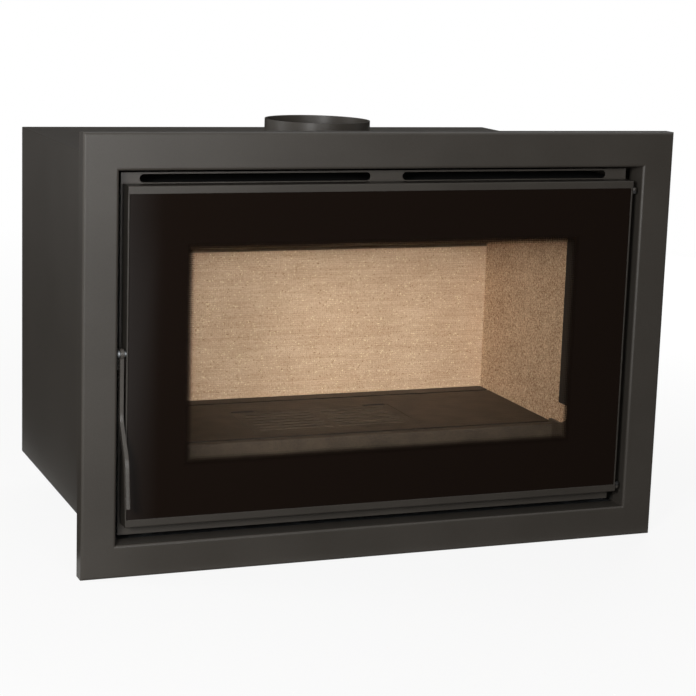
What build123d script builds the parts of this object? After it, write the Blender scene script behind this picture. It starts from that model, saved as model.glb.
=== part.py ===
from build123d import *
import os

# A wood-burning fireplace insert, in millimetres, with +Z up and +Y into the wall.
# The origin is on the flue's axis, on the underside of the casing, which stands on a plinth.

# Trim frame
frame_width = 820
frame_height = 567
frame_drop = 37             # how far it reaches below the casing's underside
frame_sheet = 2
frame_bend = 3.5
frame_outer_return = 23
frame_inner_return = 30     # the depth of the recess that the door stands in
frame_side_band = 45.3
frame_top_band = 47
frame_bottom_band = 43.2
flue_setback = 293          # from the frame's front plane to the flue's axis

# Casing
casing_sheet = 1.5
casing_lap = 8.3            # how far its sides stand outside the frame's opening
casing_top_lap = 7.3
casing_flange = 15          # its sides' rear edges, folded in
casing_bend = 3
casing_top_bend = 1.3
casing_back_gap = 102       # from the firebox's back to the casing's back
inlet_length = 120
inlet_height = 12
inlet_rise = 30
inlet_pitch = 165
inlet_count = 4

# Door
door_side_gap = 12.2        # from the frame's opening to the door
door_top_gap = 19
door_bottom_gap = 21.8
door_front = 3.5            # its front edges lie this far behind the frame's front plane
door_back = 27
door_sheet = 2
trim_sheet = 1.5
trim_lip = 8.5
glass_thickness = 4
glass_edge_gap = 0.5
glass_border = 81           # from the door's edge to the clear window
print_overlap = 8           # how far the printed border laps the door frame's opening
tape_thickness = 2.5
tape_width = 14
window_return = 8
rope_inset = 33             # from the door's edge to the rope's centre line
rope_width = 15
rope_corner = 5
rope_gap = 0.3              # between the rope and the front plate

# Front plate and firebox
plate_sheet = 2
plate_side_lap = 2.5        # how far the plate stands out beyond the door's sides
plate_bottom_gap = 4.8
plate_top_gap = 5
vent_height = 10.5
vent_edge = 2.5
vent_land = 3
vent_left_end = 24
vent_right_end = 31
vent_bridge = 45
vent_bridge_mid = 1
mouth_lap = 13              # from the rope's centre line to the mouth's edge
mouth_corner = 6
firebox_sheet = 3
firebox_depth = 401
floor_height = 48           # the floor's underside above the casing's
rail_width = 40
rail_sheet = 2
rail_bend = 2.5
rail_foot = 12
rail_end_gap = 30

# Flue
flue_radius = 75
flue_wall = 2
flue_swage = 1              # how much wider it is above the casing's top, where the pipe slips on
flue_rise = 32              # above the casing's top
flue_flange = 22
flue_flange_sheet = 3
flue_hole_gap = 1.5

# Vermiculite lining
side_liner = 24
back_liner = 25
liner_front_gap = 28        # behind the front plate
baffle_thickness = 25
baffle_rear_height = 322    # its underside at the back board, and at its front edge
baffle_front_height = 372
baffle_opening = 108        # smoke's way up, between the front plate and the baffle
baffle_end_gap = 1
board_chamfer = 1
baffle_chamfer = 2
bracket_sheet = 1.5
bracket_reach = 75
bracket_rise = 33           # its lower edge above the hearth

# Hearth, grate and ash pan
hearth_rise = 44            # the hearth's top above the firebox floor
hearth_wall = 8
hearth_gap = 1
hearth_seam = 6             # the groove between the hearth's castings
hearth_front = 100          # from the liners' front to the flat plate
strip_depth = 26            # the casting along the back board
bar_thickness = 11
bar_round = 3
apron_run = 44              # how far the bar's foot reaches in front of its face
apron_thickness = 7
cheek_width = 5
cheek_step = 5              # the cheeks' height above the bar
cheek_run = 21.5            # the length of their level part
cheek_rise = 16             # their height at the front
grate_width = 250
grate_depth = 125
grate_thickness = 7
grate_front = 27            # behind the plate's front edge
grate_shift = 8             # its centre stands this far to the right
grate_gap = 0.5
grate_ledge = 6
grate_slot = 5
grate_bar = 11
grate_rim = 12
grate_rib = 11
grate_chamfer = 1
lift_notch = 36
lift_notch_depth = 7
lift_notch_inset = 4
pan_gap = 3
pan_sheet = 1.5
pan_corner = 8
pan_top_gap = 3
pan_taper = 4

# Air supply
air_slot_length = 26
air_slot_height = 8
air_slot_pitch = 60
air_slot_count = 5
air_slot_rise = 21          # their centre line above the plate's lower edge
slide_sheet = 2
slide_gap = 0.3
slide_height = 20
slide_travel = 30
slide_tab_width = 12
slide_tab_side_gap = 1
slide_tab_gap = 0.5
slide_tab_reach = 7
slide_tab_rise = 14.5
slide_end = 12
guide_sheet = 1.5
guide_lip = 5
air_box_depth = 90
air_box_sheet = 1.5
air_box_end = 45
air_hole_length = 50
air_hole_width = 10
air_hole_pitch = 75
air_hole_count = 3
air_hole_setback = 60
wash_sheet = 1.5
wash_rise = 20
wash_reach = 18
wash_drop = 30
wash_end_gap = 12

# Hinges
hinge_out = 4               # the axis, outside the door's side
hinge_depth = 8             # the axis, behind the frame's front plane
hinge_inset = 8             # the lower lug's underside above the door's lower edge
hinge_thickness = 4
lug_radius = 4
ear_gap = 0.3
pin_radius = 2
pin_fit = 0.1
foot_height = 20
foot_sheet = 2
foot_reach = 20

# Handle and latch
lever_thickness = 5
lever_width = 9
lever_pivot_height = 253
lever_pivot_depth = 7.5
lever_gap = 3               # from the door's side to the lever
lever_eye = 7
lever_bend = 40
lever_straight = 86         # from the pivot down to the first bend
lever_knee_drop = 130       # down to the second bend
lever_knee_out = 29
lever_drop = 191            # down to the foot's end
lever_out = 37
stud_radius = 3
stud_fit = 0.1
stud_shoulder = 1
nut_radius = 4.8
nut_height = 3.5
nut_chamfer = 1.2
prong_drop = 22
prong_height = 7
prong_reach = 24
keeper_gap = 0.3
keeper_sheet = 3
keeper_reach = 16
keeper_height = 24
frame_bracket_sheet = 2
frame_bracket_height = 40
frame_bracket_foot = 26
frame_bracket_step = 9
frame_bracket_tail = 28
frame_bracket_spread = 300

# Places that several pieces share
front = -flue_setback
opening_half = frame_width / 2 - frame_side_band
opening_low = frame_bottom_band - frame_drop
opening_high = frame_height - frame_drop - frame_top_band
body_front = front + frame_inner_return
plate_back = body_front + plate_sheet

casing_half = opening_half + casing_lap
casing_high = opening_high + casing_top_lap
casing_back = body_front + firebox_depth + casing_back_gap

door_half = opening_half - door_side_gap
door_low = opening_low + door_bottom_gap
door_high = opening_high - door_top_gap
door_face = front + door_front
door_rear = front + door_back
glass_back = door_face + glass_thickness
door_plate = glass_back + tape_thickness
window_inset = glass_border - print_overlap

plate_half = door_half + plate_side_lap
plate_low = opening_low + plate_bottom_gap
plate_high = opening_high - plate_top_gap
mouth_inset = rope_inset + mouth_lap

firebox_back_in = body_front + firebox_depth - firebox_sheet
firebox_high = plate_high - vent_edge - vent_height - vent_land
inner_half = plate_half - firebox_sheet
floor_top = floor_height + firebox_sheet
liner_front = plate_back + liner_front_gap
liner_back_face = firebox_back_in - back_liner
liner_half = inner_half - side_liner
baffle_front = plate_back + baffle_opening
baffle_slope = (baffle_rear_height - baffle_front_height) / (liner_back_face - baffle_front)
board_high = baffle_rear_height + baffle_slope * (liner_front - liner_back_face)

hearth_top = floor_top + hearth_rise
hearth_under = hearth_top - hearth_wall
grate_seat = hearth_top - grate_thickness
hearth_edge = liner_front + hearth_front
grate_mid_y = hearth_edge + grate_front + grate_depth / 2
flue_top = casing_high + flue_rise
slot_line = plate_low + air_slot_rise

hinge_x = door_half + hinge_out
hinge_y = front + hinge_depth
lever_outer = door_half + lever_gap + lever_thickness
pivot_y = front + lever_pivot_depth

os.makedirs("parts", exist_ok=True)


def front_view(y):
    """A sketch plane at depth y, seen from the front: negative extrusions run into the wall."""
    return Plane.XZ.offset(-y)


def side_view(x):
    """A sketch plane at x, with its own x along Y and its own y along Z."""
    return Plane.YZ.offset(x)


def patch(x_low, x_high, y_low, y_high, mode=Mode.ADD):
    """A rectangle between two corners, in the sketch that is open."""
    with Locations(((x_low + x_high) / 2, (y_low + y_high) / 2)):
        Rectangle(x_high - x_low, y_high - y_low, mode=mode)


def folded(points, thickness, radius):
    """The section of a folded sheet, whose thickness lies to the left of its run of points."""
    with BuildLine():
        run = FilletPolyline(*points, radius=radius)
    make_face(run.offset_2d(thickness, side=Side.LEFT).edges())


def door_ring(inset, width, mode=Mode.ADD):
    """A rectangular ring, its outer edge inset from the door's edge."""
    patch(inset - door_half, door_half - inset, door_low + inset, door_high - inset, mode)
    inner = inset + width
    hole = Mode.SUBTRACT if mode == Mode.ADD else Mode.ADD
    patch(inner - door_half, door_half - inner, door_low + inner, door_high - inner, hole)


def finish(builder, name):
    """Labels a finished piece and writes it."""
    builder.part.label = name
    export_step(builder.part, f"parts/{name}.step")


# ---------------------------------------------------------------- trim frame
# One sheet frame, folded back round its outside and round its opening.
with BuildPart() as trim_frame:
    with BuildSketch(front_view(front)):
        patch(-frame_width / 2, frame_width / 2, -frame_drop, frame_height - frame_drop)
        patch(-opening_half, opening_half, opening_low, opening_high, Mode.SUBTRACT)
    extrude(amount=-frame_inner_return)
    fillet(trim_frame.faces().sort_by(Axis.Y)[0].edges(), frame_bend)
    offset(amount=-frame_sheet, openings=trim_frame.faces().sort_by(Axis.Y)[-1])
    with BuildSketch(front_view(front + frame_outer_return)):
        patch(-frame_width / 2, frame_width / 2, -frame_drop, frame_height - frame_drop)
        patch(-opening_half - frame_bend, opening_half + frame_bend,
              opening_low - frame_bend, opening_high + frame_bend, Mode.SUBTRACT)
    extrude(amount=frame_outer_return - frame_inner_return, mode=Mode.SUBTRACT)
finish(trim_frame, "trim_frame")

# Joggled straps that tie the frame's inner return to the casing's sides.
with BuildPart() as frame_brackets:
    strap_low = (opening_low + opening_high - frame_bracket_spread - frame_bracket_height) / 2
    for low in (strap_low, strap_low + frame_bracket_spread):
        with BuildSketch(Plane.XY.offset(low)):
            inner_x = opening_half + frame_sheet
            folded([(casing_half, body_front + frame_bracket_tail),
                    (casing_half, body_front - frame_bracket_sheet),
                    (inner_x, body_front - frame_bracket_step),
                    (inner_x, body_front - frame_bracket_foot)],
                   frame_bracket_sheet, frame_bracket_sheet / 2)
        extrude(amount=frame_bracket_height)
    mirror(about=Plane.YZ)
finish(frame_brackets, "frame_brackets")

# ---------------------------------------------------------------- casing
# The base is a flat sheet, and the sides stand on it.
with BuildPart() as casing_base:
    with BuildSketch(Plane.XY):
        patch(-casing_half, casing_half, body_front, casing_back)
    extrude(amount=casing_sheet)
finish(casing_base, "casing_base")

side_height = casing_high - 2 * casing_sheet
side_rear = casing_back - casing_sheet
for side, name in ((-1, "casing_left"), (1, "casing_right")):
    with BuildPart() as casing_side:
        with BuildSketch(Plane.XY.offset(casing_sheet)):
            flange_edge = casing_half - casing_flange
            corners = [(casing_half, body_front), (casing_half, side_rear), (flange_edge, side_rear)]
            if side < 0:
                corners = [(-x, y) for x, y in corners[::-1]]
            folded(corners, casing_sheet, casing_bend)
        extrude(amount=side_height)
    finish(casing_side, name)

with BuildPart() as casing_rear:
    with BuildSketch(front_view(casing_back)):
        patch(-casing_half, casing_half, casing_sheet, casing_high - casing_sheet)
        with Locations((0, inlet_rise)):
            with GridLocations(inlet_pitch, 0, inlet_count, 1):
                SlotOverall(inlet_length, inlet_height, mode=Mode.SUBTRACT)
    extrude(amount=casing_sheet)
finish(casing_rear, "casing_back")

with BuildPart() as casing_top:
    with BuildSketch(Plane.XY.offset(casing_high - casing_sheet)):
        patch(-casing_half, casing_half, body_front, casing_back)
        Circle(flue_radius + flue_hole_gap, mode=Mode.SUBTRACT)
    extrude(amount=casing_sheet)
    long_edges = casing_top.edges().filter_by(Axis.Y).group_by(Axis.Z)[-1]
    fillet(long_edges, casing_top_bend)
finish(casing_top, "casing_top")

# Two hat rails carry the firebox above the base.
with BuildPart() as base_rails:
    rail_mid = plate_half - rail_sheet - rail_width / 2
    with BuildSketch(front_view(plate_back + rail_end_gap)):
        for centre in (-rail_mid, rail_mid):
            crown = centre + rail_width / 2
            foot = centre - rail_width / 2
            rail_under = plate_low - rail_sheet
            folded([(foot - rail_foot, casing_sheet), (foot, casing_sheet),
                    (foot, rail_under), (crown, rail_under),
                    (crown, casing_sheet), (crown + rail_foot, casing_sheet)],
                   rail_sheet, rail_bend)
    extrude(amount=plate_back + 2 * rail_end_gap - body_front - firebox_depth)
finish(base_rails, "base_rails")

# ---------------------------------------------------------------- front plate and firebox
with BuildPart() as front_plate:
    with BuildSketch(front_view(body_front)):
        patch(-plate_half, plate_half, plate_low, plate_high)
        with BuildSketch(front_view(body_front), mode=Mode.SUBTRACT) as mouth:
            patch(mouth_inset - door_half, door_half - mouth_inset,
                  door_low + mouth_inset, door_high - mouth_inset)
            fillet(mouth.vertices(), mouth_corner)
        vent_line = plate_high - vent_edge - vent_height / 2
        for low, high in ((vent_left_end - plate_half, vent_bridge_mid - vent_bridge / 2),
                          (vent_bridge_mid + vent_bridge / 2, plate_half - vent_right_end)):
            with Locations(((low + high) / 2, vent_line)):
                SlotOverall(high - low, vent_height, mode=Mode.SUBTRACT)
        with Locations((0, slot_line)):
            with GridLocations(air_slot_pitch, 0, air_slot_count, 1):
                SlotOverall(air_slot_length, air_slot_height, mode=Mode.SUBTRACT)
        tab_z = plate_low + slide_tab_rise
        tab_end = slide_tab_width / 2 + slide_tab_side_gap
        tab_rise = slide_sheet / 2 + slide_tab_gap
        patch(-tab_end, tab_end + slide_travel, tab_z - tab_rise, tab_z + tab_rise, Mode.SUBTRACT)
    extrude(amount=-plate_sheet)
finish(front_plate, "front_plate")

for side, name in ((-1, "firebox_left"), (1, "firebox_right")):
    with BuildPart() as firebox_side:
        with BuildSketch(side_view(side * inner_half)):
            patch(plate_back, body_front + firebox_depth, plate_low, firebox_high - firebox_sheet)
        extrude(amount=side * firebox_sheet)
    finish(firebox_side, name)

with BuildPart() as firebox_back:
    with BuildSketch(front_view(body_front + firebox_depth)):
        patch(-inner_half, inner_half, floor_height, firebox_high - firebox_sheet)
    extrude(amount=firebox_sheet)
finish(firebox_back, "firebox_back")

with BuildPart() as firebox_top:
    with BuildSketch(Plane.XY.offset(firebox_high - firebox_sheet)):
        patch(-plate_half, plate_half, plate_back, body_front + firebox_depth)
        Circle(flue_radius - flue_swage - flue_wall, mode=Mode.SUBTRACT)
    extrude(amount=firebox_sheet)
finish(firebox_top, "firebox_top")

with BuildPart() as firebox_floor:
    with BuildSketch(Plane.XY.offset(floor_height)):
        patch(-inner_half, inner_half, plate_back, firebox_back_in)
        with Locations((0, body_front + air_hole_setback)):
            with GridLocations(air_hole_pitch, 0, air_hole_count, 1):
                Rectangle(air_hole_length, air_hole_width, mode=Mode.SUBTRACT)
    extrude(amount=firebox_sheet)
finish(firebox_floor, "firebox_floor")

# The collar is a short tube on a flat flange, swaged out a little where it leaves the casing.
with BuildPart() as flue_collar:
    with BuildSketch(Plane.XZ):
        neck = flue_radius - flue_swage
        patch(neck - flue_wall, neck, firebox_high, casing_high)
        patch(flue_radius - flue_wall, flue_radius, casing_high, flue_top)
        patch(neck, neck + flue_flange, firebox_high, firebox_high + flue_flange_sheet)
    revolve(axis=Axis.Z)
finish(flue_collar, "flue_collar")

# ---------------------------------------------------------------- lining
for side, name in ((-1, "liner_left"), (1, "liner_right")):
    with BuildPart() as side_board:
        with BuildSketch(side_view(side * liner_half)):
            with BuildLine():
                Polyline((liner_front, floor_top), (liner_back_face, floor_top),
                         (liner_back_face, baffle_rear_height), (liner_front, board_high), close=True)
            make_face()
        extrude(amount=side * side_liner)
        chamfer(side_board.edges().filter_by(Axis.Z).sort_by(Axis.Y)[:2], board_chamfer)
    finish(side_board, name)

with BuildPart() as liner_back:
    with BuildSketch(front_view(firebox_back_in)):
        baffle_end_height = baffle_rear_height + baffle_slope * back_liner
        patch(-inner_half, inner_half, floor_top, baffle_end_height)
    extrude(amount=back_liner)
finish(liner_back, "liner_back")

# The baffle lies on the boards' top edges and rises towards the door.
with BuildPart() as baffle:
    with BuildSketch(side_view(baffle_end_gap - inner_half)):
        with BuildLine():
            Polyline((baffle_front, baffle_front_height), (firebox_back_in, baffle_end_height),
                     (firebox_back_in, baffle_end_height + baffle_thickness),
                     (baffle_front, baffle_front_height + baffle_thickness), close=True)
        make_face()
    extrude(amount=2 * (inner_half - baffle_end_gap))
    chamfer(baffle.edges().filter_by(Axis.X).sort_by(Axis.Y)[:2], baffle_chamfer)
finish(baffle, "baffle")

# Folded strips hold the side boards' front edges.
for side, name in ((-1, "liner_bracket_left"), (1, "liner_bracket_right")):
    with BuildPart() as liner_bracket:
        with BuildSketch(Plane.XY.offset(hearth_top + bracket_rise)):
            corners = [(liner_half, liner_front + bracket_reach), (liner_half, liner_front),
                       (inner_half, liner_front)]
            if side < 0:
                corners = [(-x, y) for x, y in corners[::-1]]
            folded(corners[::-1], bracket_sheet, bracket_sheet / 2)
        extrude(amount=baffle_front_height - hearth_top - bracket_rise)
    finish(liner_bracket, name)

# A bent channel behind the mouth's upper edge sends air down the glass.
with BuildPart() as air_wash_channel:
    wash_half = inner_half - wash_end_gap
    mouth_high = door_high - mouth_inset
    wash_top = mouth_high + wash_rise
    wash_foot = wash_top - wash_drop
    with BuildSketch(side_view(-wash_half)):
        folded([(plate_back + wash_reach / 2, wash_foot - wash_reach / 2),
                (plate_back + wash_reach, wash_foot), (plate_back + wash_reach, wash_top),
                (plate_back, wash_top)], wash_sheet, wash_sheet)
    extrude(amount=2 * wash_half)
finish(air_wash_channel, "air_wash_channel")

# ---------------------------------------------------------------- hearth, grate and ash pan
# The hearth is three castings on the firebox floor: a hollow plate, a strip along the back
# board, and a bar in front with a raised cheek at each end.
hearth_half = liner_half - hearth_gap
hearth_rear = liner_back_face - hearth_gap
strip_front = hearth_rear - strip_depth
with BuildPart() as hearth_plate:
    with BuildSketch(Plane.XY.offset(floor_top)):
        patch(-hearth_half, hearth_half, hearth_edge, strip_front - hearth_seam)
    extrude(amount=hearth_rise)
    # hollow underneath, leaving skirts
    with BuildSketch(Plane.XY.offset(floor_top)):
        patch(hearth_wall - hearth_half, hearth_half - hearth_wall,
              hearth_edge + hearth_wall, strip_front - hearth_seam - hearth_wall)
    extrude(amount=hearth_rise - hearth_wall, mode=Mode.SUBTRACT)
    # the grate's seat, with a notch at both back corners to lift it by
    with BuildSketch(Plane.XY.offset(grate_seat)):
        with Locations((grate_shift, grate_mid_y)):
            Rectangle(grate_width + 2 * grate_gap, grate_depth + 2 * grate_gap)
    extrude(amount=grate_thickness, mode=Mode.SUBTRACT)
    with BuildSketch(Plane.XY.offset(hearth_under)):
        with Locations((grate_shift, grate_mid_y)):
            Rectangle(grate_width - 2 * grate_ledge, grate_depth - 2 * grate_ledge)
            notch_x = (grate_width - lift_notch) / 2 - lift_notch_inset
            notch_y = (grate_depth + lift_notch_depth) / 2
            with Locations((-notch_x, notch_y), (notch_x, notch_y)):
                Rectangle(lift_notch, lift_notch_depth)
    extrude(amount=hearth_wall, mode=Mode.SUBTRACT)
finish(hearth_plate, "hearth_plate")

with BuildPart() as hearth_back_strip:
    with BuildSketch(side_view(-hearth_half)):
        patch(strip_front, hearth_rear, floor_top, hearth_top)
        patch(strip_front + hearth_wall, hearth_rear - hearth_wall,
              floor_top, hearth_under, Mode.SUBTRACT)
    extrude(amount=2 * hearth_half)
finish(hearth_back_strip, "hearth_back_strip")

with BuildPart() as hearth_bar:
    bar_back = hearth_edge - hearth_seam
    bar_face = bar_back - bar_thickness
    apron_front = bar_face - apron_run
    with BuildSketch(side_view(-hearth_half)):
        patch(bar_face, bar_back, floor_top, hearth_top)
        patch(apron_front, bar_back, floor_top, floor_top + apron_thickness)
    extrude(amount=2 * hearth_half)
    crest = hearth_bar.edges().filter_by(Axis.X).group_by(Axis.Z)[-1].sort_by(Axis.Y)[0]
    fillet(crest, bar_round)
    for x in (-hearth_half, hearth_half - cheek_width):
        with BuildSketch(side_view(x)):
            with BuildLine():
                cheek_level = hearth_top + cheek_step
                level = Line((bar_back, cheek_level), (bar_back - cheek_run, cheek_level))
                curl = TangentArc([level @ 1, (apron_front, hearth_top + cheek_rise)], tangent=(-1, 0))
                Polyline(curl @ 1, (apron_front, floor_top), (bar_back, floor_top), level @ 0)
            make_face()
        extrude(amount=cheek_width)
finish(hearth_bar, "hearth_bar")

with BuildPart() as grate:
    with BuildSketch(Plane.XY.offset(grate_seat)):
        with Locations((grate_shift, grate_mid_y)):
            Rectangle(grate_width, grate_depth)
            pitch = grate_slot + grate_bar
            rows = int((grate_depth - 2 * grate_rim + grate_bar) // pitch)
            slot_run = (grate_width - 2 * grate_rim - grate_rib) / 2
            with GridLocations(slot_run + grate_rib, pitch, 2, rows):
                Rectangle(slot_run, grate_slot, mode=Mode.SUBTRACT)
    extrude(amount=grate_thickness)
    chamfer(grate.faces().sort_by(Axis.Z)[-1].outer_wire().edges(), grate_chamfer)
finish(grate, "grate")

# The pan is a lined box with drafted walls, standing on the floor under the grate.
with BuildPart() as ash_pan:
    pan_width = grate_width - 2 * grate_ledge - 2 * pan_gap
    pan_depth = grate_depth - 2 * grate_ledge - 2 * pan_gap
    pan_height = hearth_rise - grate_thickness - pan_top_gap
    with BuildSketch(Plane.XY.offset(floor_top)):
        with Locations((grate_shift, grate_mid_y)):
            RectangleRounded(pan_width - 2 * pan_taper, pan_depth - 2 * pan_taper, pan_corner)
    with BuildSketch(Plane.XY.offset(floor_top + pan_height)):
        with Locations((grate_shift, grate_mid_y)):
            RectangleRounded(pan_width, pan_depth, pan_corner)
    loft()
    offset(amount=-pan_sheet, openings=ash_pan.faces().sort_by(Axis.Z)[-1])
finish(ash_pan, "ash_pan")

# ---------------------------------------------------------------- air supply
# A flat slide behind the front plate uncovers a row of slots, and its tab comes out under the door.
slide_half = ((air_slot_count - 1) * air_slot_pitch + air_slot_length) / 2 + slide_end
slide_low = slot_line - slide_height / 2
with BuildPart() as air_slide:
    with BuildSketch(front_view(plate_back + slide_gap)):
        patch(-slide_half, slide_half, slide_low, slide_low + slide_height)
        with Locations((0, slot_line)):
            with GridLocations(air_slot_pitch, 0, air_slot_count, 1):
                SlotOverall(air_slot_length, air_slot_height, mode=Mode.SUBTRACT)
    extrude(amount=-slide_sheet)
    with BuildSketch(front_view(plate_back + slide_gap + slide_sheet)):
        patch(-slide_tab_width / 2, slide_tab_width / 2,
              tab_z - slide_sheet / 2, tab_z + slide_sheet / 2)
    extrude(amount=slide_gap + 2 * slide_sheet + slide_tab_reach)
finish(air_slide, "air_slide")

with BuildPart() as air_slide_guides:
    guide_back = plate_back + 2 * slide_gap + slide_sheet
    with BuildSketch(side_view(-slide_half - slide_travel)):
        for edge, turn in ((slide_low - slide_gap, 1), (slide_low + slide_height + slide_gap, -1)):
            patch(plate_back, guide_back + guide_sheet, *sorted((edge, edge - turn * guide_sheet)))
            patch(guide_back, guide_back + guide_sheet, *sorted((edge, edge + turn * guide_lip)))
    extrude(amount=2 * (slide_half + slide_travel))
finish(air_slide_guides, "air_slide_guides")

with BuildPart() as air_box:
    box_half = slide_half + slide_travel + air_box_end
    with BuildSketch(side_view(-box_half)):
        patch(plate_back, plate_back + air_box_depth, plate_low, floor_height)
    extrude(amount=2 * box_half)
    with BuildSketch(Plane.XY.offset(plate_low + air_box_sheet)):
        patch(air_box_sheet - box_half, box_half - air_box_sheet,
              plate_back, plate_back + air_box_depth - air_box_sheet)
    extrude(amount=floor_height - plate_low, mode=Mode.SUBTRACT)
finish(air_box, "air_box")

# ---------------------------------------------------------------- door
# The frame is a shallow tray: the glass lies in its front, and the rope in a channel in its back.
with BuildPart() as door_frame:
    with BuildSketch(front_view(door_face)):
        patch(-door_half, door_half, door_low + trim_sheet, door_high - trim_sheet)
    extrude(amount=door_front - door_back)
    with BuildSketch(front_view(door_face)):
        patch(door_sheet - door_half, door_half - door_sheet,
              door_low + trim_sheet + door_sheet, door_high - trim_sheet - door_sheet)
    extrude(amount=door_face - door_plate, mode=Mode.SUBTRACT)
    with BuildSketch(front_view(door_plate + door_sheet)):
        patch(door_sheet - door_half, door_half - door_sheet,
              door_low + trim_sheet + door_sheet, door_high - trim_sheet - door_sheet)
        for offset_in in (rope_inset - rope_width / 2 - door_sheet, rope_inset + rope_width / 2):
            door_ring(offset_in, door_sheet, Mode.SUBTRACT)
        door_ring(window_inset - door_sheet, door_sheet, Mode.SUBTRACT)
    extrude(amount=door_plate + door_sheet - door_rear, mode=Mode.SUBTRACT)
    with BuildSketch(front_view(door_plate)):
        patch(window_inset - door_half, door_half - window_inset,
              door_low + window_inset, door_high - window_inset)
    extrude(amount=door_plate - door_rear, mode=Mode.SUBTRACT)
    with BuildSketch(front_view(door_plate + door_sheet + window_return)):
        door_ring(rope_inset + rope_width / 2 + 2 * door_sheet, glass_border)
    extrude(amount=door_plate + door_sheet + window_return - door_rear, mode=Mode.SUBTRACT)
finish(door_frame, "door_frame")

with BuildPart() as door_glass:
    with BuildSketch(front_view(door_face)):
        edge = door_sheet + glass_edge_gap
        patch(edge - door_half, door_half - edge,
              door_low + trim_sheet + edge, door_high - trim_sheet - edge)
    extrude(amount=-glass_thickness)
finish(door_glass, "door_glass")

with BuildPart() as glass_tape:
    with BuildSketch(front_view(glass_back)):
        door_ring(window_inset - tape_width, tape_width - door_sheet)
    extrude(amount=-tape_thickness)
finish(glass_tape, "glass_tape")

# Folded trims close the door's top and bottom, and their lips hold the glass.
for low, name in ((True, "door_bottom_trim"), (False, "door_top_trim")):
    with BuildPart() as door_trim:
        edge = door_low if low else door_high
        turn = 1 if low else -1
        lip_face = door_face - trim_sheet
        corners = [(lip_face, edge + turn * (trim_lip + trim_sheet)), (lip_face, edge), (door_rear, edge)]
        with BuildSketch(side_view(-door_half)):
            folded(corners if low else corners[::-1], trim_sheet, trim_sheet)
        extrude(amount=2 * door_half)
    finish(door_trim, name)

with BuildPart() as rope_seal:
    with BuildSketch(front_view(door_plate + door_sheet)):
        door_ring(rope_inset - rope_width / 2, rope_width)
    extrude(amount=door_plate + door_sheet + rope_gap - body_front)
    crown = rope_seal.faces().sort_by(Axis.Y)[-1]
    fillet(crown.edges(), rope_corner)
finish(rope_seal, "rope_seal")

# ---------------------------------------------------------------- hinges
# Each hinge is a lug on the door's side over or under an ear of a bracket on the front plate.
lug_lows = (door_low + hinge_inset, door_high - hinge_inset - trim_sheet - hinge_thickness * 2)
ear_lows = (lug_lows[0] - hinge_thickness, lug_lows[1] + hinge_thickness)
with BuildPart() as hinge_lugs:
    for low in lug_lows:
        with BuildSketch(Plane.XY.offset(low)):
            patch(door_half, hinge_x, hinge_y - lug_radius, hinge_y + lug_radius)
            with Locations((hinge_x, hinge_y)):
                Circle(lug_radius)
                Circle(pin_radius + pin_fit, mode=Mode.SUBTRACT)
            patch(door_half - lug_radius, door_half, hinge_y - lug_radius,
                  hinge_y + lug_radius, Mode.SUBTRACT)
        extrude(amount=hinge_thickness)
finish(hinge_lugs, "hinge_lugs")

ear_radius = hinge_out - ear_gap
with BuildPart() as hinge_brackets:
    for low in ear_lows:
        with BuildSketch(Plane.XY.offset(low)):
            with Locations((hinge_x, hinge_y)):
                Circle(ear_radius)
            patch(hinge_x - ear_radius, hinge_x + ear_radius, hinge_y, body_front)
            with Locations((hinge_x, hinge_y)):
                Circle(pin_radius, mode=Mode.SUBTRACT)
        extrude(amount=hinge_thickness)
        with BuildSketch(front_view(body_front - foot_sheet)):
            foot_mid = low + hinge_thickness / 2
            patch(hinge_x - foot_reach, hinge_x + ear_radius,
                  foot_mid - foot_height / 2, foot_mid + foot_height / 2)
        extrude(amount=-foot_sheet)
finish(hinge_brackets, "hinge_brackets")

with BuildPart() as hinge_pins:
    for low in (ear_lows[0], lug_lows[1]):
        with BuildSketch(Plane.XY.offset(low)):
            with Locations((hinge_x, hinge_y)):
                Circle(pin_radius)
        extrude(amount=2 * hinge_thickness)
finish(hinge_pins, "hinge_pins")

# ---------------------------------------------------------------- handle and latch
# The lever hangs beside the door. Its prong lies under the keeper's lip until the foot is pulled.
with BuildPart() as handle_lever:
    with BuildSketch(side_view(-lever_outer)):
        with BuildLine():
            FilletPolyline((pivot_y, lever_pivot_height), (pivot_y, lever_pivot_height - lever_straight),
                           (pivot_y - lever_knee_out, lever_pivot_height - lever_knee_drop),
                           (pivot_y - lever_out, lever_pivot_height - lever_drop), radius=lever_bend)
        trace(line_width=lever_width)
        prong_top = lever_pivot_height - prong_drop
        patch(pivot_y, front + prong_reach, prong_top - prong_height, prong_top)
        with Locations((pivot_y, lever_pivot_height)):
            Circle(lever_eye)
            Circle(stud_radius + stud_fit, mode=Mode.SUBTRACT)
    extrude(amount=lever_thickness)
finish(handle_lever, "handle_lever")

# A shouldered stud on the door's side, and the chamfered nut that keeps the lever on it.
with BuildPart() as pivot_stud:
    with BuildSketch(side_view(-door_half)):
        with Locations((pivot_y, lever_pivot_height)):
            Circle(stud_radius + stud_shoulder)
    extrude(amount=-(lever_gap - keeper_gap))
    with BuildSketch(side_view(-door_half)):
        with Locations((pivot_y, lever_pivot_height)):
            Circle(stud_radius)
    extrude(amount=-(lever_gap + lever_thickness + keeper_gap))
finish(pivot_stud, "pivot_stud")

with BuildPart() as pivot_nut:
    with BuildSketch(side_view(-lever_outer - keeper_gap)):
        with Locations((pivot_y, lever_pivot_height)):
            Circle(nut_radius)
    extrude(amount=-nut_height)
    chamfer(pivot_nut.faces().sort_by(Axis.X)[0].edges(), nut_chamfer)
finish(pivot_nut, "pivot_nut")

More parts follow.
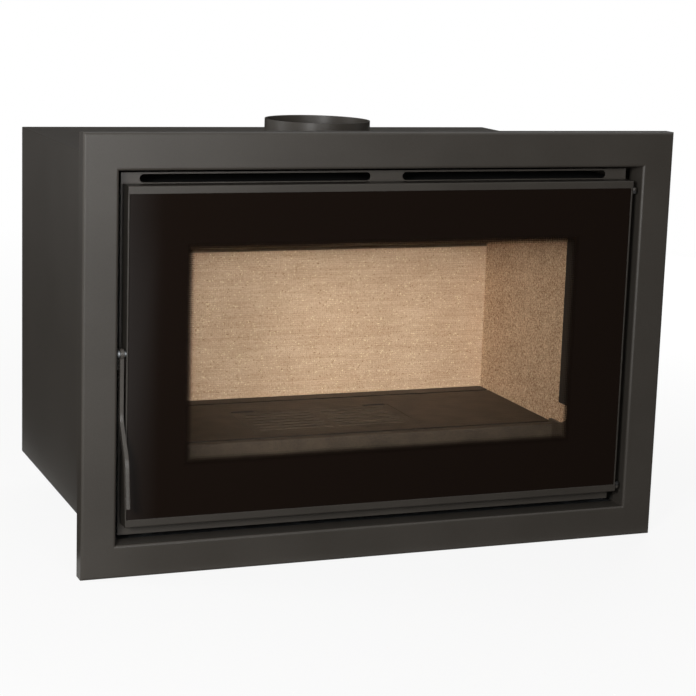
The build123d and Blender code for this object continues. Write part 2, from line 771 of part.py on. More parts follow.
with BuildPart() as latch_keeper:
    keeper_low = prong_top + keeper_gap
    with BuildSketch(side_view(-opening_half + keeper_gap)):
        folded([(body_front, keeper_low + keeper_height), (body_front, keeper_low),
                (body_front - keeper_reach, keeper_low)][::-1], keeper_sheet, keeper_sheet)
    extrude(amount=opening_half - door_half - lever_gap + keeper_gap)
finish(latch_keeper, "latch_keeper")
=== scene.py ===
# %% [markdown]
# # A fireplace insert, dressed in Blender
# The steel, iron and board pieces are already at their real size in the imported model. This lesson
# gives each of them the finish of the real one, adds the small things that a maker fixes on last
# (bolts, screws, the knitted rope), and sets up a plain studio with the photograph's viewpoint.

# %% Load the frame
import math

import bmesh
import bpy
from mathutils import Matrix, Vector


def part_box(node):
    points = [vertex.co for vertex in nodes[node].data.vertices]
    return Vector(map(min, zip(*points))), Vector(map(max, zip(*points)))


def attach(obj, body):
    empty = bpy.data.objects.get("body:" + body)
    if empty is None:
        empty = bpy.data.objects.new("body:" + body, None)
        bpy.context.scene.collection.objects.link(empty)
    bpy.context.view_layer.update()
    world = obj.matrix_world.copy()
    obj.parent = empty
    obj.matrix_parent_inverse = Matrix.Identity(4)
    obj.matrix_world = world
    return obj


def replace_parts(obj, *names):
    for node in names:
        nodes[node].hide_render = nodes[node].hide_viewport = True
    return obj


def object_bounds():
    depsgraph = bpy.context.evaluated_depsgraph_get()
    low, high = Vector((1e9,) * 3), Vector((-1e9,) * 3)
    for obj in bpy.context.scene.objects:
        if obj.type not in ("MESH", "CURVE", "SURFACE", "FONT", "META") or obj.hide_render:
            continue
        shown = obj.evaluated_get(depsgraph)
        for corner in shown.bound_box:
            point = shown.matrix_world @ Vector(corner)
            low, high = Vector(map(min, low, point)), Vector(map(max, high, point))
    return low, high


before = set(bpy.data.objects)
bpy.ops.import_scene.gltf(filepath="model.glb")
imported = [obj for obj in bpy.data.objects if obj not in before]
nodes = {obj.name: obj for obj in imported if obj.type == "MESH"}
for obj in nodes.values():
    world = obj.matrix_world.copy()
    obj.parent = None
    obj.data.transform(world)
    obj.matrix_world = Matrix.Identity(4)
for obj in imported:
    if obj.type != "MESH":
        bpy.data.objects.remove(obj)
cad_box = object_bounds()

MM = 0.001

# %% [markdown]
# A material is a small tree of nodes. Four helpers keep the rest short. One turns a colour, as it
# is written on the web, into the linear numbers that a renderer needs. One adds a node with its
# settings and its links, and one starts a material. The last turns the real size of a pattern
# into the scale that a texture node wants, so that every pattern can be checked with a ruler.

# %% Helpers for materials
BEVEL_RAYS = 4


def colour(hex_code):
    """A written sRGB colour as linear red, green, blue and alpha."""
    channels = [int(hex_code[i:i + 2], 16) / 255 for i in (1, 3, 5)]
    linear = [c / 12.92 if c <= 0.04045 else ((c + 0.055) / 1.055) ** 2.4 for c in channels]
    return (*linear, 1.0)


def add(tree, kind, inputs=None, **settings):
    """Adds a node. An input is a value, a socket to link from, or a node's first output."""
    made = tree.nodes.new(kind)
    for name, value in settings.items():
        setattr(made, name, value)
    for key, value in (inputs or {}).items():
        if isinstance(value, bpy.types.Node):
            value = value.outputs[0]
        if isinstance(value, bpy.types.NodeSocket):
            tree.links.new(value, made.inputs[key])
        else:
            made.inputs[key].default_value = value
    return made


def start_material(name):
    """An empty material, with the socket that gives each point's own place on its piece."""
    made = bpy.data.materials.new(name)
    made.use_nodes = True
    made.node_tree.nodes.clear()
    place = add(made.node_tree, "ShaderNodeTexCoord").outputs["Object"]
    return made, made.node_tree, place


def per_mm(size):
    """The scale of a pattern whose parts measure so many millimetres."""
    return 1 / (size * MM)


print("middle grey in linear light:", round(colour("#808080")[0], 3))
print("scale of a 2 mm grain:", round(per_mm(2)))

# %% [markdown]
# The sheet steel is sprayed with a satin high-temperature silicone paint. It is a warm dark grey,
# never quite even: broad soft clouds, and a dry fine grain that breaks up highlights. The lever
# has more shine, where hands rub it, and lighter greys, which are a painted highlight. A photograph
# of paint would show seams and slide over the folds, so noise is used: it fills space, and keeps
# its size on every piece. The Bevel node rounds each sharp edge by about a millimetre for the light
# only, which gives the thin line that a painted edge shows. The grain is drawn coarser than it is,
# so that it shows.

# %% Painted steel
PAINT_CLOUD = 140
PAINT_GRAIN = 0.9
PAINT_EDGE = 0.9
SHINE_CHANGE = 0.06


def painted_steel(name, light, dark, roughness, edge=PAINT_EDGE):
    """A paint from its two greys, its roughness and the radius of its edges in millimetres."""
    made, tree, place = start_material(name)
    cloud = add(tree, "ShaderNodeTexNoise",
                {"Vector": place, "Scale": per_mm(PAINT_CLOUD), "Detail": 4, "Roughness": 0.55})
    grain = add(tree, "ShaderNodeTexNoise",
                {"Vector": place, "Scale": per_mm(PAINT_GRAIN), "Detail": 2, "Roughness": 0.6})
    mixed = add(tree, "ShaderNodeMath", {0: cloud, 1: grain}, operation="ADD")
    share = add(tree, "ShaderNodeMapRange", {"Value": mixed, "From Min": 0.7, "From Max": 1.3})
    tone = add(tree, "ShaderNodeMix", {0: share, 6: colour(dark), 7: colour(light)},
               data_type="RGBA")
    shine = add(tree, "ShaderNodeMapRange", {
        "Value": grain, "To Min": roughness - SHINE_CHANGE, "To Max": roughness + SHINE_CHANGE})
    rounded = add(tree, "ShaderNodeBevel", {"Radius": edge * MM}, samples=BEVEL_RAYS)
    relief = add(tree, "ShaderNodeBump", {
        "Strength": 0.25, "Distance": 0.08 * MM, "Height": grain, "Normal": rounded})
    shader = add(tree, "ShaderNodeBsdfPrincipled", {
        "Base Color": tone.outputs[2], "Roughness": shine, "Specular IOR Level": 0.38,
        "Normal": relief})
    add(tree, "ShaderNodeOutputMaterial", {"Surface": shader})
    return made


outer_paint = painted_steel("silicone_paint_warm_grey", "#44403B", "#3A3631", 0.36)
inner_paint = painted_steel("silicone_paint_firebox_black", "#1C1A19", "#141312", 0.66)
edge_paint = painted_steel("silicone_paint_on_trims", "#3E3A35", "#332F2A", 0.4, edge=1.2)
# Painted highlight: the lever's greys are lighter than the frame's. Its lower roughness is the
# rubbed shine.
rubbed_lever_paint_with_painted_highlight = painted_steel("silicone_paint_rubbed_with_painted_highlight", "#524E49", "#403C38", 0.26, edge=1.5)
print("paints made:", [paint.name for paint in (outer_paint, inner_paint, edge_paint, rubbed_lever_paint_with_painted_highlight)])

# %% [markdown]
# Galvanised sheet and zinc-plated fasteners sit where nobody looks. Zinc is a real metal, so the
# shader is metallic, and the leafy crystals that grow in the zinc bath are Voronoi cells, each
# with a grey of its own. A broad noise makes some of them duller, as they turn with age.

# %% Zinc-coated steel
ZINC_CRYSTAL = 9
ZINC_CLOUD = 30
ZINC_EDGE = 0.4
zinc, tree, place = start_material("galvanised_steel_sheet")
crystal = add(tree, "ShaderNodeTexVoronoi",
              {"Vector": place, "Scale": per_mm(ZINC_CRYSTAL), "Randomness": 1.0})
dull = add(tree, "ShaderNodeTexNoise", {"Vector": place, "Scale": per_mm(ZINC_CLOUD), "Detail": 5})
leaf = add(tree, "ShaderNodeMix", {
    0: crystal.outputs["Color"], 6: colour("#66686A"), 7: colour("#86898B")}, data_type="RGBA")
rough = add(tree, "ShaderNodeMapRange", {"Value": dull, "To Min": 0.36, "To Max": 0.56})
rounded = add(tree, "ShaderNodeBevel", {"Radius": ZINC_EDGE * MM}, samples=BEVEL_RAYS)
shader = add(tree, "ShaderNodeBsdfPrincipled", {
    "Base Color": leaf.outputs[2], "Roughness": rough, "Metallic": 1.0, "Normal": rounded})
add(tree, "ShaderNodeOutputMaterial", {"Surface": shader})
print("metal made:", zinc.name)

# %% [markdown]
# The hearth and the grate are cast in sand and blackened. The skin copies the sand: a pitted
# grain of about one and a half millimetres, in which wider patches of scale are darker or more
# brown. The pits are too small to model, so the same noise that colours them lifts them as a bump.

# %% Cast iron
SAND_GRAIN = 1.6
SCALE_PATCH = 30
cast_iron, tree, place = start_material("sand_cast_iron_blackened")
sand = add(tree, "ShaderNodeTexNoise",
           {"Vector": place, "Scale": per_mm(SAND_GRAIN), "Detail": 6, "Roughness": 0.65})
scale = add(tree, "ShaderNodeTexNoise",
            {"Vector": place, "Scale": per_mm(SCALE_PATCH), "Detail": 4})
skin = add(tree, "ShaderNodeMath", {0: sand, 1: 2.0, 2: scale}, operation="MULTIPLY_ADD")
patch = add(tree, "ShaderNodeMapRange", {"Value": skin, "From Min": 1.1, "From Max": 1.9})
iron_tone = add(tree, "ShaderNodeMix", {
    0: patch, 6: colour("#29221C"), 7: colour("#544A3F")}, data_type="RGBA")
print("casting skin begun:", cast_iron.name)

# %% [markdown]
# The seams between the castings are coloured near-black as painted shade, but the grate's open
# slots are not. Nothing needs to be painted by hand for that. A point lies in a seam when it is
# lower than the hearth's top and behind the front bar, and it lies in a slot when it is within the
# grate's rim. Each test gives 0 or 1, and a clamped difference of two tests means "and not".

# %% Painted shade in the seams
SEAM_DEPTH = 0.15 * MM
GRATE_RIM = 11.5 * MM
IRON_EDGE = 1.4
grate_low, grate_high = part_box("grate")
tests = (("Z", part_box("hearth_plate")[1].z - SEAM_DEPTH), ("Y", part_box("hearth_bar")[1].y + MM),
         ("X", grate_low.x + GRATE_RIM), ("Y", grate_low.y + GRATE_RIM),
         ("X", grate_high.x - GRATE_RIM), ("Y", grate_high.y - GRATE_RIM))
point = add(tree, "ShaderNodeSeparateXYZ", {0: place}).outputs
on_top, behind_bar, past_left, past_front, past_right, past_back = [
    add(tree, "ShaderNodeMath", {0: point[axis], 1: limit}, operation="GREATER_THAN")
    for axis, limit in tests]
in_rim = add(tree, "ShaderNodeMath", {0: past_left, 1: past_front}, operation="MULTIPLY")
past_rim = add(tree, "ShaderNodeMath", {0: past_right, 1: past_back}, operation="MAXIMUM")
in_seam, in_slot = [
    add(tree, "ShaderNodeMath", {0: yes, 1: no}, operation="SUBTRACT", use_clamp=True)
    for yes, no in ((behind_bar, on_top), (in_rim, past_rim))]
# Painted shade: faces below the hearth's top and behind the bar turn near-black, outside the
# grate's slots.
painted_seam_shade = add(tree, "ShaderNodeMath", {0: in_seam, 1: in_slot}, operation="SUBTRACT", use_clamp=True)
iron_with_painted_seam_shade = add(tree, "ShaderNodeMix", {0: painted_seam_shade, 6: iron_tone.outputs[2], 7: colour("#0B0908")},
            data_type="RGBA")
rough = add(tree, "ShaderNodeMapRange", {"Value": sand, "To Min": 0.5, "To Max": 0.8})
rounded = add(tree, "ShaderNodeBevel", {"Radius": IRON_EDGE * MM}, samples=BEVEL_RAYS)
relief = add(tree, "ShaderNodeBump", {
    "Strength": 0.6, "Distance": 0.5 * MM, "Height": sand, "Normal": rounded})
shader = add(tree, "ShaderNodeBsdfPrincipled", {
    "Base Color": iron_with_painted_seam_shade.outputs[2], "Roughness": rough, "Specular IOR Level": 0.4,
    "Normal": relief})
add(tree, "ShaderNodeOutputMaterial", {"Surface": shader})
print("soot lies below, mm:", round(tests[0][1] / MM, 2))

# %% [markdown]
# Vermiculite board is pressed from expanded mica flakes. The press leaves fine level lines, and
# the flakes show as gold and brown specks of one or two millimetres, some of which glint. The
# lines are noise that is stretched along X, and the specks are Voronoi cells, of which only the
# few with the highest random colours are kept. One function makes all the boards: the back board
# shows its lines, the side boards show mostly flakes, and the baffle's darker browns are painted
# shade.

# %% Vermiculite board
LINE_LENGTH = 70
LINE_HEIGHT = 2.6
BOARD_CLOUD = 60
BOARD_GRAIN = 2.4
DARK_SPECKS_ABOVE = 0.98
GOLD_SPECKS_ABOVE = 0.976


def vermiculite(name, pale, dark, line_share, cloud_share, speck_size):
    """A board from two tans, the shares of lines and clouds in it, and its specks' size in mm."""
    made, tree, place = start_material(name)
    stretch = add(tree, "ShaderNodeMapping", {"Vector": place, "Scale": (
        per_mm(LINE_LENGTH), per_mm(LINE_LENGTH), per_mm(LINE_HEIGHT))})
    lines = add(tree, "ShaderNodeTexNoise",
                {"Vector": stretch, "Scale": 1.0, "Detail": 3, "Roughness": 0.6})
    cloud = add(tree, "ShaderNodeTexNoise",
                {"Vector": place, "Scale": per_mm(BOARD_CLOUD), "Detail": 3, "Roughness": 0.5})
    grain = add(tree, "ShaderNodeTexNoise",
                {"Vector": place, "Scale": per_mm(BOARD_GRAIN), "Detail": 2, "Roughness": 0.8})
    pressed = add(tree, "ShaderNodeMix", {0: line_share, 2: grain, 3: lines}, data_type="FLOAT")
    height = add(tree, "ShaderNodeMix", {0: cloud_share, 2: pressed, 3: cloud}, data_type="FLOAT")
    share = add(tree, "ShaderNodeMapRange", {"Value": height, "From Min": 0.38, "From Max": 0.62})
    board = add(tree, "ShaderNodeMix", {0: share, 6: colour(dark), 7: colour(pale)},
                data_type="RGBA")
    flake = add(tree, "ShaderNodeTexVoronoi",
                {"Vector": place, "Scale": per_mm(speck_size), "Randomness": 1.0})
    random = add(tree, "ShaderNodeSeparateColor", {0: flake.outputs["Color"]}).outputs
    for number, limit, speck in ((0, DARK_SPECKS_ABOVE, "#A08468"),
                                 (1, GOLD_SPECKS_ABOVE, "#EAD8B7")):
        kept = add(tree, "ShaderNodeMath", {0: random[number], 1: limit}, operation="GREATER_THAN")
        board = add(tree, "ShaderNodeMix", {0: kept, 6: board.outputs[2], 7: colour(speck)},
                    data_type="RGBA")
    glint = add(tree, "ShaderNodeMapRange", {"Value": kept, "To Min": 0.85, "To Max": 0.35})
    relief = add(tree, "ShaderNodeBump", {"Strength": 0.5, "Distance": 0.4 * MM, "Height": height})
    shader = add(tree, "ShaderNodeBsdfPrincipled", {
        "Base Color": board.outputs[2], "Roughness": glint, "Specular IOR Level": 0.3,
        "Normal": relief})
    add(tree, "ShaderNodeOutputMaterial", {"Surface": shader})
    return made


back_board = vermiculite("pressed_vermiculite_with_lines", "#DAC2AA", "#B2957B", 0.34, 0.14, 1.6)
side_board = vermiculite("pressed_vermiculite_with_flakes", "#EDD1B3", "#957459", 0.08, 0.1, 1.6)
# Painted shade: the baffle's darker browns stand for the shade on its underside.
baffle_board_with_painted_shade = vermiculite("pressed_vermiculite_painted_shade", "#94806A", "#5E4C3C", 0.08, 0.3, 2.0)
print("boards made:", back_board.name, side_board.name, baffle_board_with_painted_shade.name)

# %% [markdown]
# The door glass is clear glass ceramic with black enamel printed round its edge. The print ends in
# a narrow band where it thins out. Two panes could be modelled, one black and one clear, but one
# material is nearer to the real thing, which is a single sheet. This cell works out how much of
# the enamel covers each point, from its distance to the clear window: 1 on the border, 0 inside.

# %% The printed border
SIDE_BORDER = 81 * MM
TOP_BORDER = 69 * MM
SIDE_FADE = 15 * MM
TOP_FADE = 16 * MM
trim_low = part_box("door_bottom_trim")[0]
trim_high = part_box("door_top_trim")[1]
clear_low = Vector((trim_low.x + SIDE_BORDER, 0, trim_low.z + SIDE_BORDER))
clear_high = Vector((trim_high.x - SIDE_BORDER, 0, trim_high.z - TOP_BORDER))

glass, tree, place = start_material("glass_ceramic_with_black_enamel")
point = add(tree, "ShaderNodeSeparateXYZ", {0: place}).outputs
aside = add(tree, "ShaderNodeMath", {0: point["X"]}, operation="ABSOLUTE")
cover = 0.0
for distance, inner, outer in (
        (aside, clear_high.x - SIDE_FADE / 2, clear_high.x + SIDE_FADE / 2),
        (point["Z"], clear_low.z + SIDE_FADE / 2, clear_low.z - SIDE_FADE / 2),
        (point["Z"], clear_high.z - TOP_FADE, clear_high.z)):
    edge = add(tree, "ShaderNodeMapRange",
               {"Value": distance, "From Min": inner, "From Max": outer})
    cover = add(tree, "ShaderNodeMath", {0: edge, 1: cover}, operation="MAXIMUM")
print("clear window, mm:", [round(v / MM) for v in (clear_high - clear_low)])

# %% [markdown]
# The band is printed as small dots, which shrink until none are left. A square grid of Voronoi
# cells gives each point's distance to the middle of its dot, and the enamel is where the cover is
# greater than that distance. From afar the dots melt into a soft fade. The enamel is a smooth
# black, and the clear part lets light straight through, with a faint mirror on top.

# %% Dots, enamel and clear glass
DOT_PITCH = 2.6
DOT_GROWTH = 0.9
DOT_SOFTNESS = 0.3
CLEAR_MIRROR = 0.012
dots = add(tree, "ShaderNodeTexVoronoi",
           {"Vector": place, "Scale": per_mm(DOT_PITCH), "Randomness": 0.0})
spread = add(tree, "ShaderNodeMath", {0: dots.outputs["Distance"], 1: DOT_GROWTH},
             operation="MULTIPLY")
beyond = add(tree, "ShaderNodeMath", {0: cover, 1: spread}, operation="SUBTRACT")
printed = add(tree, "ShaderNodeMapRange",
              {"Value": beyond, "From Min": -DOT_SOFTNESS, "From Max": DOT_SOFTNESS})
enamel = add(tree, "ShaderNodeBsdfPrincipled", {
    "Base Color": colour("#1B1410"), "Roughness": 0.05, "Specular IOR Level": 0.3})
see_through = add(tree, "ShaderNodeBsdfTransparent", {"Color": colour("#F6F4F1")})
mirror = add(tree, "ShaderNodeBsdfGlossy", {"Color": colour("#FFFFFF"), "Roughness": 0.03})
clear = add(tree, "ShaderNodeMixShader", {0: CLEAR_MIRROR, 1: see_through, 2: mirror})
shader = add(tree, "ShaderNodeMixShader", {0: printed, 1: clear, 2: enamel})
add(tree, "ShaderNodeOutputMaterial", {"Surface": shader})
print("glass made:", glass.name)

# %% [markdown]
# Glass-fibre rope and tape are knitted from pale yarn that has been dyed grey with graphite. The
# strands are modelled further on, so the finish only has to tint them: slanting bands of paler
# yarn, and a fuzz of loose fibres, which scatters light like cloth and is drawn as a bump.

# %% Glass-fibre knit
KNIT_BAND = 9
KNIT_FUZZ = 0.8
knit, tree, place = start_material("knitted_glass_fibre")
bands = add(tree, "ShaderNodeTexWave", {
    "Vector": place, "Scale": per_mm(KNIT_BAND), "Distortion": 1.5, "Detail Scale": 3.0},
    bands_direction="DIAGONAL")
fuzz = add(tree, "ShaderNodeTexNoise", {"Vector": place, "Scale": per_mm(KNIT_FUZZ), "Detail": 3})
tint = add(tree, "ShaderNodeMix", {0: bands, 6: colour("#3B3835"), 7: colour("#6A665F")},
           data_type="RGBA")
relief = add(tree, "ShaderNodeBump", {"Strength": 0.5, "Distance": 0.4 * MM, "Height": fuzz})
shader = add(tree, "ShaderNodeBsdfPrincipled", {
    "Base Color": tint.outputs[2], "Roughness": 0.9, "Sheen Weight": 0.3, "Normal": relief})
add(tree, "ShaderNodeOutputMaterial", {"Surface": shader})
print("knit made:", knit.name)

# %% [markdown]
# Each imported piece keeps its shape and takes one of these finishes. A small table says which
# piece is made of what, in the words of whoever would order the parts.

# %% Give each piece its finish
FINISHES = {
    outer_paint: ["trim_frame", "casing_left", "casing_right", "casing_top", "casing_back",
                  "front_plate", "flue_collar", "hinge_brackets", "latch_keeper"],
    rubbed_lever_paint_with_painted_highlight: ["handle_lever"],
    edge_paint: ["door_frame", "door_top_trim", "door_bottom_trim"],
    inner_paint: ["firebox_left", "firebox_right", "firebox_back", "firebox_top", "firebox_floor",
                  "air_wash_channel", "liner_bracket_left", "liner_bracket_right", "hinge_lugs"],
    zinc: ["frame_brackets", "casing_base", "base_rails", "air_box", "air_slide",
           "air_slide_guides", "ash_pan", "hinge_pins", "pivot_stud", "pivot_nut"],
    cast_iron: ["hearth_plate", "hearth_back_strip", "hearth_bar", "grate"],
    back_board: ["liner_back"],
    side_board: ["liner_left", "liner_right"],
    baffle_board_with_painted_shade: ["baffle"],
    glass: ["door_glass"],
    knit: ["glass_tape", "rope_seal"],
}
for finish, names in FINISHES.items():
    for name in names:
        nodes[name].data.materials.clear()
        nodes[name].data.materials.append(finish)
finished = {name for names in FINISHES.values() for name in names}
print("finished", len(finished), "of", len(nodes), "pieces")
print("left over:", sorted(set(nodes) - finished))

# %% [markdown]
# Bolts, screws and strands of yarn repeat, so Geometry Nodes place them. A tree is built in code
# with named inputs, run once, and turned into a plain mesh. Three helpers start a tree, run it,
# and join what it made into one piece that rides on a body. A modifier's inputs are set by each
# socket's identifier, before it is first evaluated.

# %% Helpers for Geometry Nodes


def start_tree(name, sockets):
    """A tree with named inputs. Returns the tree, its inputs' sockets and the node it ends in."""
    tree = bpy.data.node_groups.new(name, "GeometryNodeTree")
    tree.interface.new_socket("Geometry", in_out="OUTPUT", socket_type="NodeSocketGeometry")
    for label, kind in sockets.items():
        tree.interface.new_socket(label, in_out="INPUT", socket_type="NodeSocket" + kind)
    return tree, tree.nodes.new("NodeGroupInput").outputs, tree.nodes.new("NodeGroupOutput")


def run_tree(tree, values):
    """The plain mesh that a tree makes from these values."""
    holder = bpy.data.objects.new("holder", bpy.data.meshes.new("holder"))
    bpy.context.collection.objects.link(holder)
    modifier = holder.modifiers.new("shape", "NODES")
    modifier.node_group = tree
    for socket in tree.interface.items_tree:
        if socket.in_out == "INPUT":
            modifier[socket.identifier] = values[socket.name]
    graph = bpy.context.evaluated_depsgraph_get()
    mesh = bpy.data.meshes.new_from_object(holder.evaluated_get(graph))
    bpy.data.objects.remove(holder)
    return mesh


def add_piece(name, meshes, body, slot):
    """Joins meshes into one piece that rides on a body."""
    joined = bmesh.new()
    for mesh in meshes:
        joined.from_mesh(mesh)
    for face in joined.faces:
        face.material_index = 0
    result = bpy.data.meshes.new(name)
    joined.to_mesh(result)
    joined.free()
    result.materials.append(next(finish for finish in meshes[0].materials if finish))
    piece = bpy.data.objects.new(name, result)
    bpy.context.collection.objects.link(piece)
    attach(piece, body)
    print(name, "faces:", len(result.polygons))
    return piece


print("helpers ready:", start_tree.__name__, run_tree.__name__, add_piece.__name__)

# %% [markdown]
# A fastener's head is turned, so its mesh is a profile swept round an axis: six sides over a round
# washer for a bolt, and a low dome with a small socket for a screw. Real threads are left out,
# because they are hidden in the sheet.

# %% Heads of bolts and screws
WASHER = [(0, 1.2), (5.6, 1.2), (6.0, 0.9), (6.0, 0)]
HEXAGON = [(0, 4.2), (3.9, 4.2), (4.9, 3.7), (5.2, 3.3), (5.2, 1.1)]
SCREW = [(0, 0.6), (1.1, 0.6), (1.3, 1.5), (2.4, 1.2), (3.1, 0.5), (3.2, 0)]


def turned(profile, sides, mesh=None):
    """A head from its profile in millimetres: pairs of radius and height, from the middle out."""
    mesh = mesh or bmesh.new()
    middle = mesh.verts.new((0, 0, profile[0][1] * MM))
    rings = []
    for radius, height in profile[1:]:
        angles = [2 * math.pi * i / sides for i in range(sides)]
        rings.append([mesh.verts.new((radius * MM * math.cos(a), radius * MM * math.sin(a),
                                      height * MM)) for a in angles])
    for i in range(sides):
        after = (i + 1) % sides
        mesh.faces.new((middle, rings[0][i], rings[0][after]))
        for inner, outer in zip(rings, rings[1:]):
            mesh.faces.new((inner[i], outer[i], outer[after], inner[after]))
    mesh.faces.new(rings[-1][::-1])
    return mesh


def pattern(name, mesh):
    """An object for a tree to copy. It is thrown away when the copies are made."""
    data = bpy.data.meshes.new(name)
    mesh.to_mesh(data)
    mesh.free()
    made = bpy.data.objects.new(name, data)
    bpy.context.collection.objects.link(made)
    return made


bolt = pattern("bolt_head", turned(HEXAGON, 6, turned(WASHER, 24)))
screw = pattern("screw_head", turned(SCREW, 16))
print("faces on a bolt:", len(bolt.data.polygons), " on a screw:", len(screw.data.polygons))

# %% [markdown]
# Fasteners come in rows. The tree draws a line of points, sets a copy of a head on each of them,
# and turns the copies so that they point out of the sheet.

# %% A row of heads
row, given, end = start_tree("row_of_heads", {
    "Head": "Object", "Count": "Int", "Start": "Vector", "Step": "Vector", "Turn": "Vector",
    "Finish": "Material"})
points = add(row, "GeometryNodeMeshLine", {
    "Count": given["Count"], "Start Location": given["Start"], "Offset": given["Step"]},
    mode="OFFSET")
head = add(row, "GeometryNodeObjectInfo", {"Object": given["Head"]})
rotation = add(row, "FunctionNodeEulerToRotation", {0: given["Turn"]})
copies = add(row, "GeometryNodeInstanceOnPoints", {
    "Points": points, "Instance": head.outputs["Geometry"], "Rotation": rotation})
real = add(row, "GeometryNodeRealizeInstances", {0: copies})
painted = add(row, "GeometryNodeSetMaterial", {0: real, "Material": given["Finish"]})
row.links.new(painted.outputs[0], end.inputs[0])

RIGHT = (0, math.pi / 2, 0)
LEFT = (0, -math.pi / 2, 0)
FRONT = (math.pi / 2, 0, 0)


def heads(head, count, start, step, turn, finish):
    """A row of heads. Start and step are in millimetres."""
    return run_tree(row, {"Head": head, "Count": count, "Start": Vector(start) * MM,
                          "Step": Vector(step) * MM, "Turn": turn, "Finish": finish})


print("nodes in a row of heads:", len(row.nodes))

# %% [markdown]
# A zinc-plated bolt with its washer holds each joggled strap to the casing. Two painted screws hold
# each hinge bracket's foot, and a blackened one holds the hearth's front bar at each cheek. Every
# place is counted from the piece that the fastener holds, so it would follow that piece.

# %% Bolts and screws
STRAP_HEIGHT = 40
STRAP_SHEET = 2
BOLT_BACK = 13
strap_low, strap_high = [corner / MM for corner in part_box("frame_brackets")]
casing_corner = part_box("casing_base")[1] / MM
strap_face = casing_corner.x + STRAP_SHEET
rows = [heads(bolt, 2, (side * strap_face, strap_high.y - BOLT_BACK,
                        strap_low.z + STRAP_HEIGHT / 2),
              (0, 0, strap_high.z - strap_low.z - STRAP_HEIGHT), turn, zinc)
        for side, turn in ((-1, LEFT), (1, RIGHT))]
add_piece("strap_bolts", rows, "root", "bare_steel")

FOOT_HEIGHT = 20
FOOT_SHEET = 2
FOOT_SCREW_IN = 8
FOOT_SCREW_PITCH = 10
foot_low, foot_high = [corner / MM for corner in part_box("hinge_brackets")]
foot_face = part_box("front_plate")[0].y / MM - FOOT_SHEET
rows = [heads(screw, 2, (foot_low.x + FOOT_SCREW_IN, foot_face, middle - FOOT_SCREW_PITCH / 2),
              (0, 0, FOOT_SCREW_PITCH), FRONT, edge_paint)
        for middle in (foot_low.z + FOOT_HEIGHT / 2, foot_high.z - FOOT_HEIGHT / 2)]
add_piece("hinge_screws", rows, "root", "painted_steel")

CHEEK_THICKNESS = 5
BAR_SCREW_BACK = 4
BAR_SCREW_DOWN = 10.5
bar_low, bar_high = [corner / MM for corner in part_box("hearth_bar")]
rows = [heads(screw, 1, (side * (bar_high.x - CHEEK_THICKNESS), bar_low.y + BAR_SCREW_BACK,
                         bar_high.z - BAR_SCREW_DOWN), (0, 0, 0), turn, cast_iron)
        for side, turn in ((1, LEFT), (-1, RIGHT))]
add_piece("hearth_bar_screws", rows, "root", "cast_iron")
for model in (bolt, screw):
    bpy.data.objects.remove(model)

# %% [markdown]
# The rope that seals the door is braided from glass yarn: strands wind both ways round it, and
# pass over and under each other. The tree starts from the rope's centre line, a rectangle with
# rounded corners. It copies the line once for each strand, and numbers the copies.

# %% The line that the strands follow
CORNER_STEPS = 6
yarn, given, end = start_tree("braid_round_a_door", {
    "Width": "Float", "Height": "Float", "Corner": "Float", "Centre": "Vector", "Turns": "Int",
    "Strands": "Int", "Points": "Int", "Across": "Float", "Deep": "Float", "Lift": "Float",
    "Yarn": "Float", "Core": "Float", "Finish": "Material"})
outline = add(yarn, "GeometryNodeCurvePrimitiveQuadrilateral",
              {"Width": given["Width"], "Height": given["Height"]})
standing = add(yarn, "GeometryNodeTransform", {
    "Geometry": outline, "Translation": given["Centre"], "Rotation": (math.pi / 2, 0, 0)})
filleted = add(yarn, "GeometryNodeFilletCurve", {
    "Curve": standing, "Count": CORNER_STEPS, "Radius": given["Corner"]}, mode="POLY")
centre_line = add(yarn, "GeometryNodeResampleCurve",
                  {"Curve": filleted, "Count": given["Points"]}, mode="COUNT")
both_ways = add(yarn, "ShaderNodeMath", {0: given["Strands"], 1: 2.0}, operation="MULTIPLY")
copies = add(yarn, "GeometryNodeDuplicateElements",
             {"Geometry": centre_line, "Amount": both_ways}, domain="SPLINE")
numbered = add(yarn, "GeometryNodeStoreNamedAttribute", {
    "Geometry": copies, "Name": "strand", "Value": copies.outputs["Duplicate Index"]},
    data_type="FLOAT", domain="CURVE")
print("inputs of the braid:", ", ".join(socket.name for socket in given if socket.name))

# %% [markdown]
# Each copy is then moved off the line by an amount that turns as it goes along, so it becomes a
# helix. Even strands wind one way and odd strands the other. The helix swells and shrinks in time
# with the crossings, which is what carries each strand over and under the others.

# %% Strands that wind round it
DEPTH = (0, 1, 0)
number = add(yarn, "GeometryNodeInputNamedAttribute", {"Name": "strand"}, data_type="FLOAT")
along = add(yarn, "GeometryNodeSplineParameter").outputs["Factor"]
odd = add(yarn, "ShaderNodeMath", {0: number, 1: 2.0}, operation="MODULO")
way = add(yarn, "ShaderNodeMath", {0: odd, 1: -2.0, 2: 1.0}, operation="MULTIPLY_ADD")
laps = add(yarn, "ShaderNodeMath", {0: along, 1: given["Turns"]}, operation="MULTIPLY")
wound = add(yarn, "ShaderNodeMath", {0: laps, 1: 2 * math.pi}, operation="MULTIPLY")
first = add(yarn, "ShaderNodeMath", {0: number, 1: math.pi}, operation="MULTIPLY")
first = add(yarn, "ShaderNodeMath", {0: first, 1: given["Strands"]}, operation="DIVIDE")
angle = add(yarn, "ShaderNodeMath", {0: wound, 1: way, 2: first}, operation="MULTIPLY_ADD")
crossing = add(yarn, "ShaderNodeMath", {0: wound, 1: given["Strands"]}, operation="MULTIPLY")
wave = add(yarn, "ShaderNodeMath", {0: crossing}, operation="COSINE")
over_under = add(yarn, "ShaderNodeMath", {0: wave, 1: way}, operation="MULTIPLY")
swell = add(yarn, "ShaderNodeMath", {0: over_under, 1: given["Lift"]}, operation="MULTIPLY")
tangent = add(yarn, "GeometryNodeInputTangent")
sideways = add(yarn, "ShaderNodeVectorMath", {0: tangent, 1: DEPTH}, operation="CROSS_PRODUCT")
steps = []
